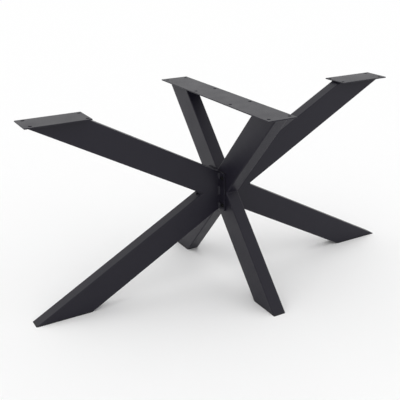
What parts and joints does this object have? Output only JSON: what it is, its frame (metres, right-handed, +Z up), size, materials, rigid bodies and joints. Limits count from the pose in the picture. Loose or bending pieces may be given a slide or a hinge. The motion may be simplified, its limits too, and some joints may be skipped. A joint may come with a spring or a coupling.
{
  "type": "spider table base",
  "caption": "Spider table base of black rectangular steel tube: a short crossed centre frame with a forked frame bolted to each side, and drilled plates that carry a table top.",
  "frame": {"origin": "on the floor, under the hub where the centre lines of the legs meet", "axes": "+X along the long side from the left frame to the right frame, +Y from the front foot to the back foot of the centre frame, +Z up"},
  "size_m": [1.5442, 0.7924, 0.72],
  "materials": {
    "powder_coat": "matte fine-texture black powder coat",
    "black_fasteners": "black oxide steel",
    "bare_steel": "turned steel, hidden inside the tubes",
    "foot_plastic": "moulded black plastic"
  },
  "bodies": {
    "root": {"centre_through_leg": "powder_coat", "centre_front_upper_leg": "powder_coat", "centre_back_lower_leg": "powder_coat", "centre_top_plate": "powder_coat", "left_upper_leg": "powder_coat", "left_lower_leg": "powder_coat", "left_flange": "powder_coat", "left_top_plate": "powder_coat", "right_upper_leg": "powder_coat", "right_lower_leg": "powder_coat", "right_flange": "powder_coat", "right_top_plate": "powder_coat", "centre_welds": "powder_coat", "left_welds": "powder_coat", "right_welds": "powder_coat", "left_bolts": "black_fasteners", "right_bolts": "black_fasteners", "left_washers": "black_fasteners", "right_washers": "black_fasteners", "threaded_sleeves": "bare_steel", "left_foot_cap": "foot_plastic", "right_foot_cap": "foot_plastic", "front_foot_cap": "foot_plastic", "back_foot_cap": "foot_plastic"}
  },
  "joints": []
}
